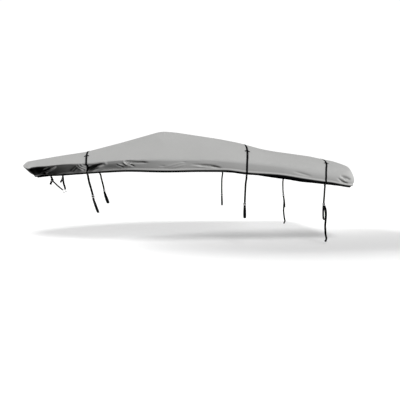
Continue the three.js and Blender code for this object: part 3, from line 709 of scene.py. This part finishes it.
def weave_group():
    """Plain weave: threads that pass over and under each other in a chequer."""
    group, given, result = new_group(
        "plain_weave",
        [("Vector", "Vector", None), ("Threads per metre", "Float", 800.0)],
        [("Height", "Float")],
    )
    scaled = node(
        group, "VectorMath",
        {"Vector": given.outputs["Vector"], "Scale": given.outputs["Threads per metre"]},
        operation="SCALE",
    )
    parts = node(group, "SeparateXYZ", {"Vector": scaled.outputs[0]})
    waves = []
    for axis in "XY":
        turns = math_node(group, "MULTIPLY", parts.outputs[axis], math.pi)
        waves.append(math_node(group, "ABSOLUTE", math_node(group, "SINE", turns)))
    chequer = node(group, "TexChecker", {"Vector": scaled.outputs[0]}, Scale=1.0)
    over = math_node(group, "MULTIPLY", waves[0], chequer.outputs["Fac"])
    rest = math_node(group, "SUBTRACT", 1.0, chequer.outputs["Fac"])
    under = math_node(group, "MULTIPLY", waves[1], rest)
    group.links.new(math_node(group, "ADD", over, under), result.inputs["Height"])
    return group


def mottle_group():
    """Uneven tone: a broad mask and a fine one, both from 0 to 1 about a half."""
    group, given, result = new_group(
        "mottle",
        [("Vector", "Vector", None), ("Broad scale", "Float", 2.0), ("Fine scale", "Float", 60.0)],
        [("Broad", "Float"), ("Fine", "Float")],
    )
    for label, detail in (("Broad", 3.0), ("Fine", 2.0)):
        noise = node(group, "TexNoise", {"Vector": given.outputs["Vector"]}, Detail=detail)
        group.links.new(given.outputs[f"{label} scale"], noise.inputs["Scale"])
        group.links.new(noise.outputs["Fac"], result.inputs[label])
    return group


def wear_group():
    """Wear along the edges of a narrow piece: 1 at the edge, falling to 0 inside it, broken up."""
    group, given, result = new_group(
        "edge_wear",
        [
            ("Across", "Float", 0.0),
            ("Half width", "Float", STRAP_WIDTH / 2),
            ("Depth", "Float", 0.004),
            ("Break-up", "Float", 0.5),
        ],
        [("Mask", "Float")],
    )
    inset = math_node(group, "SUBTRACT", given.outputs["Half width"], given.outputs["Depth"])
    away = math_node(group, "ABSOLUTE", given.outputs["Across"])
    past = math_node(group, "SUBTRACT", away, inset)
    share = math_node(group, "DIVIDE", past, given.outputs["Depth"], clamp=True)
    broken = math_node(group, "MULTIPLY", share, given.outputs["Break-up"], clamp=True)
    group.links.new(broken, result.inputs["Mask"])
    return group


GROUPS = {"weave": weave_group(), "mottle": mottle_group(), "wear": wear_group()}


def place_group(tree, name, links=(), **values):
    return node(tree, "Group", links, node_tree=GROUPS[name], **values)


def mottle(tree, coords, broad, fine):
    """Uneven tone over a piece, at a broad and a fine noise scale."""
    return place_group(
        tree, "mottle", {"Vector": coords.outputs["Object"]}, Broad_scale=broad, Fine_scale=fine
    )


def mix_colour(tree, share, first, second):
    """Mixes two colours, each a tuple or a socket."""
    made = node(tree, "Mix", {"Factor": share}, data_type="RGBA")
    for slot, value in ((6, first), (7, second)):
        if isinstance(value, tuple):
            made.inputs[slot].default_value = (*value, 1)
        else:
            tree.links.new(value, made.inputs[slot])
    return made.outputs[2]


def map_range(tree, value, low, high, to_low, to_high):
    """A number moved from one range to another, and held inside it."""
    made = node(tree, "MapRange", {"Value": value}, clamp=True)
    for k, number in enumerate((low, high, to_low, to_high), 1):
        made.inputs[k].default_value = number
    return made.outputs[0]


def new_material(name, **settings):
    """A material and its tree, shader and texture coordinates."""
    material = bpy.data.materials.new(name)
    material.use_nodes = True
    tree = material.node_tree
    shader = tree.nodes["Principled BSDF"]
    for label, value in settings.items():
        shader.inputs[label.replace("_", " ")].default_value = value
    return material, tree, shader, tree.nodes.new("ShaderNodeTexCoord")


def paint(tree, shader, colour, roughness):
    tree.links.new(colour, shader.inputs["Base Color"])
    tree.links.new(roughness, shader.inputs["Roughness"])


def add_bump(tree, shader, layers):
    """Bumps in a row, each a height, its depth in metres and its strength."""
    last = None
    for height, depth, strength in layers:
        bump = node(tree, "Bump", {"Height": height}, Distance=depth, Strength=strength)
        if last is not None:
            tree.links.new(last, bump.inputs["Normal"])
        last = bump.outputs["Normal"]
    tree.links.new(last, shader.inputs["Normal"])


# ---- materials


def cloth_material():
    """Matt coated polyester: a fine plain weave, a little uneven in tone, with faint crush marks."""
    material, tree, shader, coords = new_material("cloth", Specular_IOR_Level=0.25)
    weave = place_group(tree, "weave", {"Vector": coords.outputs["UV"]}, Threads_per_metre=900.0)
    tone = mottle(tree, coords, 1.3, 38.0)
    broad = map_range(tree, tone.outputs["Broad"], 0.3, 0.7, 0, 1)
    base = mix_colour(tree, broad, CLOTH_DARK, CLOTH_LIGHT)
    fine = map_range(tree, tone.outputs["Fine"], 0.42, 0.75, 0, 0.14)
    speckled = mix_colour(tree, fine, base, CLOTH_SPECK)
    paint(tree, shader, speckled, map_range(tree, tone.outputs["Fine"], 0.2, 0.8, 0.76, 0.88))
    crush = node(
        tree, "TexNoise", {"Vector": coords.outputs["Object"]},
        Scale=7.0, Detail=4.0, Distortion=1.2,
    )
    add_bump(
        tree, shader,
        [(crush.outputs["Fac"], 0.006, 0.25), (weave.outputs["Height"], 0.0003, 0.5)],
    )
    return material


def webbing_material():
    """Black woven webbing, ribbed across its length, its edges a little fuzzed and greyed."""
    material, tree, shader, coords = new_material("webbing", Specular_IOR_Level=0.04)
    uv = node(tree, "SeparateXYZ", {"Vector": coords.outputs["UV"]})
    weave = place_group(tree, "weave", {"Vector": coords.outputs["UV"]}, Threads_per_metre=520.0)
    tone = mottle(tree, coords, 9.0, 240.0)
    wear = place_group(tree, "wear", {"Across": uv.outputs["Y"], "Break-up": tone.outputs["Fine"]})
    base = mix_colour(tree, tone.outputs["Broad"], WEBBING_DARK, WEBBING_LIGHT)
    worn = mix_colour(tree, wear.outputs["Mask"], base, WEBBING_WORN)
    paint(tree, shader, worn, map_range(tree, tone.outputs["Fine"], 0.3, 0.7, 0.8, 0.95))
    add_bump(tree, shader, [(weave.outputs["Height"], 0.0006, 0.8)])
    return material


def moulding_material():
    """Black moulded plastic with a fine spark-eroded grain."""
    material, tree, shader, coords = new_material("moulding")
    tone = mottle(tree, coords, 30.0, 2600.0)
    base = mix_colour(tree, tone.outputs["Broad"], MOULDING_DARK, MOULDING_LIGHT)
    paint(tree, shader, base, map_range(tree, tone.outputs["Broad"], 0.3, 0.7, 0.33, 0.48))
    add_bump(tree, shader, [(tone.outputs["Fine"], 0.0001, 0.5)])
    return material


def wire_material():
    """Steel wire dipped in black plastic, rubbed through to metal in small spots."""
    material, tree, shader, coords = new_material("wire")
    tone = mottle(tree, coords, 70.0, 900.0)
    rubbed = map_range(tree, tone.outputs["Broad"], 0.72, 0.76, 0, 1)
    base = mix_colour(tree, rubbed, WIRE_COAT, WIRE_STEEL)
    tree.links.new(rubbed, shader.inputs["Metallic"])
    paint(tree, shader, base, map_range(tree, tone.outputs["Fine"], 0.3, 0.7, 0.42, 0.6))
    add_bump(tree, shader, [(tone.outputs["Fine"], 0.0001, 0.3)])
    return material


MATERIALS = {
    "cloth": cloth_material(),
    "webbing": webbing_material(),
    "moulding": moulding_material(),
    "wire": wire_material(),
}

# ---- the cloth

# Mesh steps along the gunwale, closest where the cloth is most creased: the end of a run, its step.
LINE_STEPS = ((2.75, 0.01), (6.5, 0.032), (6.85, 0.012), (7.2, 0.022), (ALONG[-1], 0.035))


def line_places():
    """Distances along the edge of the mesh lines, with both ends."""
    places = np.zeros(1)
    for end, step in LINE_STEPS:
        count = round((end - places[-1]) / step)
        places = np.concatenate([places, np.linspace(places[-1], end, count + 1)[1:]])
    return places


def hem_place(along, height):
    """Place of a row that stays a height above the cut edge."""
    return 2 - height / skirt_length(along)


def row_places(along):
    """Places of the mesh rows on each line, closer together on the roll and at the hem."""
    top = 1 - (1 - np.linspace(0, 1, TOP_STEPS + 1)) ** TOP_CROWDING
    skirt = np.linspace(0, 1, SKIRT_STEPS + 1)[1:]
    last = hem_place(along, HEM_ROWS[0])
    rows = [np.full_like(along, place) for place in top]
    rows += [1 + (last - 1) * share for share in skirt]
    rows += [hem_place(along, height) for height in HEM_ROWS[1:]]
    return np.stack(rows, -1)


def ring_grid(lines, places):
    """Grids of along, side and place, aft along the port side and back along the starboard side."""
    along = np.concatenate([lines, lines[-2:0:-1]])
    side = np.concatenate([-np.ones(len(lines)), np.ones(len(lines) - 2)])
    rows = np.concatenate([places, places[-2:0:-1]])
    wide = [np.broadcast_to(values[:, None], rows.shape) for values in (along, side)]
    return *wide, rows


def make_canvas():
    lines = line_places()
    along, side, place = ring_grid(lines, row_places(lines))
    points, normals, v = skin(along, place, side)
    rows = len(along)
    weld = grid_numbers(*along.shape)
    mirror = (2 * (len(lines) - 1) - np.arange(rows)) % rows
    later = np.arange(rows) > mirror
    weld[later, 0] = weld[mirror[later], 0]
    inner = np.zeros(along.shape)
    return closed_sheet(
        "canvas_cloth", points, normals, inner, inner + CLOTH, grid_uvs(along, v[:, :1] - v),
        slot="cloth", weld=weld, ring=True,
    )


def make_hem_webbing():
    lines = line_places()
    heights, crown = np.array(HEM_WEBBING_ROWS).T
    places = np.stack([hem_place(lines, height) for height in heights], -1)
    along, side, place = ring_grid(lines, places)
    points, normals, _ = skin(along, place, side)
    inner = np.full(along.shape, CLOTH + GAP)
    return closed_sheet(
        "hem_webbing_band", points, normals, inner, inner + crown * HEM_WEBBING_THICKNESS,
        grid_uvs(along, heights - HEM_WEBBING_HEIGHT / 2), ring=True,
    )


# ---- straps and keepers


def strap_height(above_hem):
    """Height of a strap's back over the cloth: it climbs over the hem webbing at its ends."""
    start = HEM_WEBBING_HEIGHT + STRAP_CLIMB_START
    climb = np.clip((start - above_hem) / STRAP_CLIMB, 0, 1)
    return CLOTH + GAP + climb * (HEM_WEBBING_THICKNESS + GAP)


def top_length(along):
    """Straight distance from the ridge to the gunwale edge."""
    ridge, edge = (section(along, np.array(place), -1)[0] for place in (0.0, 1.0))
    return np.linalg.norm(ridge - edge)


def strap_grid(strap, offsets, start, skirt_steps, top_steps):
    """A grid over the cloth from hem to hem, one column for each offset from the strap's middle.

    Gives its points, its normals and the height of the strap's back in each row. start is the
    place of the first row and of the last.
    """
    middle = ALONG[strap["station"]]
    up = np.concatenate(
        [np.linspace(start, 1, skirt_steps + 1), np.linspace(1, 0, top_steps + 1)[1:]]
    )
    sides = np.concatenate([-np.ones(len(up)), np.ones(len(up) - 1)])
    places = np.concatenate([up, up[-2::-1]])
    points, normals, _ = skin(middle + offsets, places[:, None], sides[:, None])
    above_hem = np.where(places > 1, (2 - places) * skirt_length(middle), 1)
    return points, unit(normals), strap_height(above_hem)


def make_strap(number, strap):
    """One strap, sewn down from the port hem over the ridge to the starboard hem."""
    middle = ALONG[strap["station"]]
    across = WEB_COLUMNS * STRAP_WIDTH / 2
    steps = [round(size(middle) / STRAP_ROW_STEP) for size in (skirt_length, top_length)]
    points, normals, back = strap_grid(strap, across, 2, *steps)
    inner = np.broadcast_to(back[:, None], points.shape[:2])
    return closed_sheet(
        f"strap_{number}_webbing", points, normals, inner, inner + SEWN_CROWN * STRAP_THICKNESS,
        grid_uvs(run_length(points[:, 2])[:, None], across),
    )


def make_keeper(number, strap, name, side):
    """A band sewn down across a strap, which passes under its raised middle."""
    middle = ALONG[strap["station"]]
    along = np.linspace(-0.5, 0.5, KEEPER_STEPS)[:, None] * KEEPER_LENGTH
    place = KEEPER_SHARE + KEEPER_COLUMNS * KEEPER_HEIGHT / 2 / top_length(middle)
    points, normals, _ = skin(middle + along, place, side)
    slope = KEEPER_LENGTH / 2 - KEEPER_FOOT - KEEPER_CROWN / 2
    ramp = np.clip((KEEPER_CROWN / 2 + slope - np.abs(along)) / slope, 0, 1)
    rise = ramp * ramp * (3 - 2 * ramp) * KEEPER_RISE
    inner = np.broadcast_to(CLOTH + GAP + rise, points.shape[:2])
    return closed_sheet(
        f"keeper_{number}_{name}_band", points, normals, inner,
        inner + KEEPER_CROWN_SHARE * KEEPER_THICKNESS,
        grid_uvs(along, KEEPER_COLUMNS * STRAP_WIDTH / 2),
    )


# ---- hanging webbing


def smooth_path(points, step=PATH_STEP):
    """A smooth curve through the points, with points about step apart."""
    points = np.array(points, float)
    spans = np.linalg.norm(np.diff(points, axis=0), axis=1) ** PATH_POWER
    marks = np.concatenate([[0], np.cumsum(spans)])
    tangents = np.gradient(points, marks, axis=0)
    fine = []
    for k, gap in enumerate(np.diff(marks)):
        f = np.linspace(0, 1, PATH_PARTS, endpoint=k == len(points) - 2)[:, None]
        g = 1 - f
        fine.append(
            points[k] * (1 + 2 * f) * g * g
            + points[k + 1] * (1 + 2 * g) * f * f
            + gap * (tangents[k] * f * g * g - tangents[k + 1] * f * f * g)
        )
    fine = np.concatenate(fine)
    run = run_length(fine)
    at = np.linspace(0, run[-1], max(4, round(run[-1] / step) + 1))
    return np.stack([np.interp(at, run, fine[:, k]) for k in range(3)], -1)


def ribbon(name, path, turn=0.0):
    """Flat webbing along a path, its width along X, turned by up to `turn` radians half way."""
    path = smooth_path(path)
    tangent = unit(np.gradient(path, axis=0))
    flat = unit(np.array([1.0, 0, 0]) - tangent[:, :1] * tangent)
    face = unit(np.cross(flat, tangent))
    angle = (turn * np.sin(np.pi * np.linspace(0, 1, len(path))))[:, None]
    width = flat * np.cos(angle) + face * np.sin(angle)
    out = face * np.cos(angle) - flat * np.sin(angle)
    across = WEB_COLUMNS * STRAP_WIDTH / 2
    points = path[:, None, :] + width[:, None, :] * across[:, None]
    normals = np.broadcast_to(out[:, None, :], points.shape)
    crown = np.broadcast_to(HANGING_CROWN * STRAP_THICKNESS / 2, points.shape[:2])
    run = run_length(path)
    uvs = grid_uvs(run[:, None], across)
    return closed_sheet(name, points, normals, -crown, crown, uvs), path, float(run[-1])


def mirrored(points, side):
    return [(x, y * side, z) for x, y, z in points]


def hem_start(along, side):
    """The first points of a fall: at the hem's outer face, in the direction of the cloth."""
    rows = np.array([hem_place(along, HEM_WEBBING_HEIGHT), 2.0])
    points, normals, _ = skin(np.full(2, along), rows, side)
    back = CLOTH + 2 * GAP + HEM_WEBBING_THICKNESS + STRAP_THICKNESS / 2
    above, end = points + normals * back
    down = unit(end - above)
    return [tuple(end + down * reach) for reach in FALL_START]


# ---- buckles and hooks


def block(work, centre, size, bevel):
    """A bevelled block added to a bmesh."""
    place = Matrix.Translation(centre) @ Matrix.Diagonal((*size, 1))
    made = bmesh.ops.create_cube(work, size=1, matrix=place)
    edges = list({edge for vert in made["verts"] for edge in vert.link_edges})
    bmesh.ops.bevel(
        work, geom=edges, offset=bevel, segments=3, profile=0.5, affect="EDGES", clamp_overlap=True
    )


def make_buckle(name, above, below):
    """A side-release buckle: a socket, two sprung arms in its side windows and a ladder bar."""
    work = bmesh.new()
    sides = [(end * x, *rest) for end in (-1, 1) for x, *rest in BUCKLE_SIDE]
    for x, y, width, height, thickness, bevel in (*BUCKLE_MIDDLE, *sides):
        centre = (x * BUCKLE_WIDTH, y * BUCKLE_HEIGHT, 0)
        size = (width * BUCKLE_WIDTH, height * BUCKLE_HEIGHT, thickness * BUCKLE_THICKNESS)
        block(work, centre, size, bevel)
    above, below = np.array(above), np.array(below)
    up = unit(above - below)
    along = unit(np.array([1.0, 0, 0]) - up[0] * up)
    out = np.cross(along, up)
    turn = Matrix(np.stack([along, up, out], 1).tolist()).to_4x4()
    work.transform(Matrix.Translation((above + below) / 2) @ turn)
    bmesh.ops.recalc_face_normals(work, faces=work.faces)
    mesh = bpy.data.meshes.new(name)
    work.to_mesh(mesh)
    work.free()
    mesh.polygons.foreach_set("use_smooth", [True] * len(mesh.polygons))
    mesh.set_sharp_from_angle(angle=math.radians(BUCKLE_CREASE))
    mesh.materials.append(MATERIALS["moulding"])
    return link_object(name, mesh)


def make_hook(name, top):
    """An open wire hook below the end of the bow strap's leg, its tip rounded."""
    turn = HOOK_OPENING / 2
    bend = [
        (turn + turn * math.cos(a), 0, -HOOK_SHANK + turn * math.sin(a))
        for a in np.linspace(math.pi, 2 * math.pi, HOOK_BEND_STEPS)
    ]
    tip = (HOOK_OPENING + HOOK_TIP_OUT, 0, HOOK_TIP_RISE - HOOK_SHANK)
    points = np.array([(0, 0, 0), (0, 0, -HOOK_SHANK / 2), *bend, tip])
    path = smooth_path(points + np.array(top) - np.array([0, 0, HOOK_WIRE]), HOOK_STEP)
    tangent = unit(np.gradient(path, axis=0))
    side = np.array([0.0, 1, 0])
    other = unit(np.cross(tangent, side))
    steps = np.arange(len(path))
    ends = np.clip(np.minimum(steps, steps[::-1]) / HOOK_ROUND_STEPS, HOOK_END, 1)
    radius = HOOK_WIRE / 2 * np.sqrt(1 - (1 - ends) ** 2)
    angles = np.linspace(0, 2 * math.pi, HOOK_SIDES, endpoint=False)
    ring = side * np.cos(angles)[:, None] + other[:, None, :] * np.sin(angles)[:, None]
    points = path[:, None, :] + ring * radius[:, None, None]
    index = grid_numbers(len(path), HOOK_SIDES)
    wrapped = np.concatenate([index, index[:, :1]], axis=1)
    faces = [tuple(face) for face in grid_faces(wrapped).tolist()]
    faces += [tuple(index[0]), tuple(index[-1][::-1])]
    thing = make_object(name, points.reshape(-1, 3), faces, "wire")
    finish_mesh(thing)
    return thing


# ---- stitching


def stitch_tree():
    """Geometry nodes that lay small stitches end to end along the edges of a mesh of lines."""
    tree = bpy.data.node_groups.new("stitches", "GeometryNodeTree")
    for label, kind in (
        ("Geometry", "Geometry"), ("Spacing", "Float"), ("Stitch length", "Float"),
        ("Thread", "Float"), ("Material", "Material"),
    ):
        socket(tree, label, kind)
    socket(tree, "Geometry", "Geometry", output=True)
    given, result = tree.nodes.new("NodeGroupInput"), tree.nodes.new("NodeGroupOutput")
    thread, length = given.outputs["Thread"], given.outputs["Stitch length"]
    curve = add_node(tree, "GeometryNodeMeshToCurve", {"Mesh": given.outputs["Geometry"]})
    spaced = add_node(
        tree, "GeometryNodeResampleCurve",
        {"Curve": curve.outputs[0], "Length": given.outputs["Spacing"]}, mode="LENGTH",
    )
    tangent = add_node(tree, "GeometryNodeInputTangent")
    facing = add_node(
        tree, "FunctionNodeAlignRotationToVector", {"Vector": tangent.outputs[0]}, axis="Z"
    )
    stitch = add_node(tree, "GeometryNodeMeshIcoSphere", Radius=0.5, Subdivisions=1)
    size = add_node(tree, "ShaderNodeCombineXYZ", {"X": thread, "Y": thread, "Z": length})
    placed = add_node(
        tree, "GeometryNodeInstanceOnPoints",
        {
            "Points": spaced.outputs[0], "Instance": stitch.outputs["Mesh"],
            "Rotation": facing.outputs[0], "Scale": size.outputs[0],
        },
    )
    real = add_node(tree, "GeometryNodeRealizeInstances", {"Geometry": placed.outputs[0]})
    painted = add_node(
        tree, "GeometryNodeSetMaterial",
        {"Geometry": real.outputs[0], "Material": given.outputs["Material"]},
    )
    tree.links.new(painted.outputs[0], result.inputs["Geometry"])
    return tree


STITCHES = stitch_tree()


def sew(name, rows):
    """One mesh of stitches along rows of points; a closed row ends where it starts."""
    vertices, edges = [], []
    for row in rows:
        first = len(vertices)
        vertices += [tuple(point) for point in row]
        edges += [(first + k, first + k + 1) for k in range(len(row) - 1)]
    lines = bpy.data.meshes.new(f"{name}_lines")
    lines.from_pydata(vertices, edges, [])
    guide = link_object(f"{name}_guide", lines)
    modifier = guide.modifiers.new("stitches", "NODES")
    modifier.node_group = STITCHES
    values = {
        "Spacing": STITCH_SPACING, "Stitch length": STITCH_LENGTH, "Thread": STITCH_THREAD,
        "Material": MATERIALS["webbing"],
    }
    for item in STITCHES.interface.items_tree:
        if item.in_out == "INPUT" and item.name in values:
            modifier[item.identifier] = values[item.name]
    evaluated = guide.evaluated_get(bpy.context.evaluated_depsgraph_get())
    mesh = bpy.data.meshes.new_from_object(evaluated)
    bpy.data.objects.remove(guide)
    mesh.name = name
    return link_object(name, mesh)


def hem_stitch_rows():
    """Two rows round the hem webbing, near its two edges."""
    lines = line_places()
    rows = []
    for height in (HEM_WEBBING_HEIGHT - HEM_STITCH_INSET[0], HEM_STITCH_INSET[1]):
        along, side, place = ring_grid(lines, hem_place(lines, height)[:, None])
        points, normals, _ = skin(along, place, side)
        out = CLOTH + GAP + HEM_WEBBING_THICKNESS
        row = (points + normals * out)[:, 0]
        rows.append(np.concatenate([row, row[:1]]))
    return rows


def strap_stitch_rows(strap):
    """A row near each edge of a strap, from hem to hem."""
    offsets = np.array([-1, 1]) * (STRAP_WIDTH / 2 - STRAP_STITCH_INSET)
    points, normals, back = strap_grid(strap, offsets, *STRAP_STITCH_STEPS)
    lifted = points + normals * (back + STRAP_THICKNESS)[:, None, None]
    return [lifted[:, 0], lifted[:, 1]]


# ---- assembly


def put(piece, slot, *nodes):
    """Rides a piece on the body, and says what it stands for and what it is made of."""
    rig.ride(piece, "root")
    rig.slot(piece, slot)
    if nodes:
        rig.replaces(piece, *nodes)
    return piece


def add_camera():
    camera = link_object("camera", bpy.data.cameras.new("camera"))
    camera.data.lens = CAMERA_LENS
    camera.data.sensor_width = CAMERA_SENSOR
    camera.location = CAMERA_PLACE
    camera.rotation_euler = (math.radians(CAMERA_PITCH), 0, math.radians(CAMERA_HEADING))
    camera.data.clip_end = 200
    bpy.context.scene.camera = camera


def hang_strap(number, strap, name, side):
    """The fall, buckle, loop and tail of one strap on one side."""
    tag = f"{number}_{name}"
    fall_route = hem_start(ALONG[strap["station"]], side) + mirrored(strap["fall"], side)
    loop_route = mirrored(strap["loop"], side)
    fall, fall_path, fall_length = ribbon(f"fall_{tag}_webbing", fall_route, FALL_TURN)
    loop, loop_path, loop_length = ribbon(f"loop_{tag}_webbing", loop_route)
    put(fall, "webbing", f"fall_{tag}")
    put(loop, "webbing", f"loop_{tag}")
    mouth = (np.array(loop_route[0]) + np.array(loop_route[-1])) / 2
    buckle = make_buckle(f"buckle_{tag}_moulding", fall_route[-1], mouth)
    put(buckle, "moulding", f"buckle_{tag}")
    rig.cord(
        fall, exit=fall_path[0], length=fall_length, diameter=STRAP_WIDTH, far_end="fitting",
        stiffness="limp", lay="hanging", path=fall_path, with_pieces=[buckle],
    )
    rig.cord(
        loop, exit=loop_path[0], length=loop_length, diameter=STRAP_WIDTH, far_end="object",
        stiffness="limp", lay="hanging", path=loop_path,
    )
    if strap["tail"]:
        tail_route = mirrored(strap["tail"], side)
        tail, tail_path, tail_length = ribbon(f"tail_{tag}_webbing", tail_route, TAIL_TURN)
        put(tail, "webbing", f"tail_{tag}")
        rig.cord(
            tail, exit=tail_path[0], length=tail_length, diameter=STRAP_WIDTH, far_end="bare",
            stiffness="limp", lay="hanging", path=tail_path,
        )


def hang_bow_strap(name, side):
    """The bow strap of one side: down from the hem, through its buckle and on to its hook."""
    along = ALONG[BOW_STATION] + BOW_STEP * (ALONG[BOW_STATION + 1] - ALONG[BOW_STATION])
    fall = hem_start(along, side) + mirrored(BOW_FALL, side)
    leg, tail = mirrored(BOW_LEG, side), mirrored(BOW_TAIL, side)
    strap, path, length = ribbon(f"bow_strap_{name}_webbing", fall + leg)
    put(strap, "webbing", f"bow_fall_{name}", f"bow_leg_{name}")
    loose, _, _ = ribbon(f"bow_tail_{name}_webbing", tail, BOW_TAIL_TURN)
    put(loose, "webbing", f"bow_tail_{name}")
    mouth = (np.array(leg[0]) + np.array(tail[0])) / 2
    buckle = make_buckle(f"bow_buckle_{name}_moulding", fall[-1], mouth)
    put(buckle, "moulding", f"bow_buckle_{name}")
    hook = put(make_hook(f"bow_hook_{name}_wire", leg[-1]), "wire", f"bow_hook_{name}")
    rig.cord(
        strap, exit=path[0], length=length, diameter=STRAP_WIDTH, far_end="connector",
        stiffness="limp", lay="taut", path=path, with_pieces=[buckle, hook, loose],
    )


def dress():
    """Every piece of the cover."""
    for number, strap in enumerate(STRAPS, 1):
        for name, side in SIDES:
            hang_strap(number, strap, name, side)
    for name, side in SIDES:
        hang_bow_strap(name, side)
    canvas = put(make_canvas(), "cloth", "canvas")
    sewn = [put(make_hem_webbing(), "webbing", "hem_webbing")]
    for number, strap in enumerate(STRAPS, 1):
        sewn.append(put(make_strap(number, strap), "webbing", f"strap_{number}"))
        for name, side in SIDES:
            keeper = make_keeper(number, strap, name, side)
            sewn.append(put(keeper, "webbing", f"keeper_{number}_{name}"))
    sewn.append(put(sew("hem_stitching", hem_stitch_rows()), "webbing"))
    rows = [row for strap in STRAPS for row in strap_stitch_rows(strap)]
    sewn.append(put(sew("strap_stitching", rows), "webbing"))
    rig.sheet(
        canvas, flat=CANVAS_FLAT, held="draped", rests_on=[], area=CANVAS_AREA, with_pieces=sewn
    )


# ---- stage and light


def add_floor():
    bpy.ops.mesh.primitive_circle_add(vertices=96, radius=FLOOR_RADIUS, fill_type="NGON")
    floor = bpy.context.object
    floor.name = "floor"
    floor.location.z = FLOOR_Z
    material, *_ = new_material(
        "floor", Base_Color=FLOOR_WHITE, Roughness=0.9, Specular_IOR_Level=0.1,
        Emission_Color=(1, 1, 1, 1), Emission_Strength=0.15,
    )
    floor.data.materials.append(material)
    floor.visible_diffuse = False
    floor.visible_glossy = False
    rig.stage(floor)


def add_light(name, azimuth, elevation, spread, strength):
    """A broad soft light. Azimuth 0 is the port side, 90 aft, 180 starboard and 270 the bow."""
    a, e = math.radians(azimuth), math.radians(elevation)
    towards = Vector((math.sin(a) * math.cos(e), -math.cos(a) * math.cos(e), math.sin(e)))
    light = link_object(name, bpy.data.lights.new(name, "SUN"))
    light.data.angle = math.radians(spread)
    light.data.energy = strength
    light.location = towards * LIGHT_DISTANCE
    light.rotation_euler = towards.to_track_quat("Z", "Y").to_euler()


# Columns: azimuth, elevation, spread, strength.
LIGHTS = {
    "port_light": (10, 58, 20, 1.5),
    "low_stern_light": (58, 3, 6, 3.2),
    "stern_light": (60, 25, 20, 1.0),
    "bow_light": (246, 28, 30, 3.8),
}


def add_world():
    """A white backdrop that only the camera sees, so it lights nothing."""
    world = bpy.data.worlds.new("studio")
    world.use_nodes = True
    tree = world.node_tree
    background = tree.nodes["Background"]
    background.inputs["Color"].default_value = (1, 1, 1, 1)
    seen = node(tree, "LightPath").outputs["Is Camera Ray"]
    strength = map_range(tree, seen, 0, 1, 0, BACKDROP_STRENGTH)
    tree.links.new(strength, background.inputs["Strength"])
    bpy.context.scene.world = world


add_camera()
dress()
add_floor()
for light_name, values in LIGHTS.items():
    add_light(light_name, *values)
add_world()
bpy.context.scene.view_settings.view_transform = "Standard"

with open("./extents.json", "w") as report:
    for low, high in (CAD_BOX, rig.bounds()):
        report.write(json.dumps([list(low), list(high)]) + "\n")
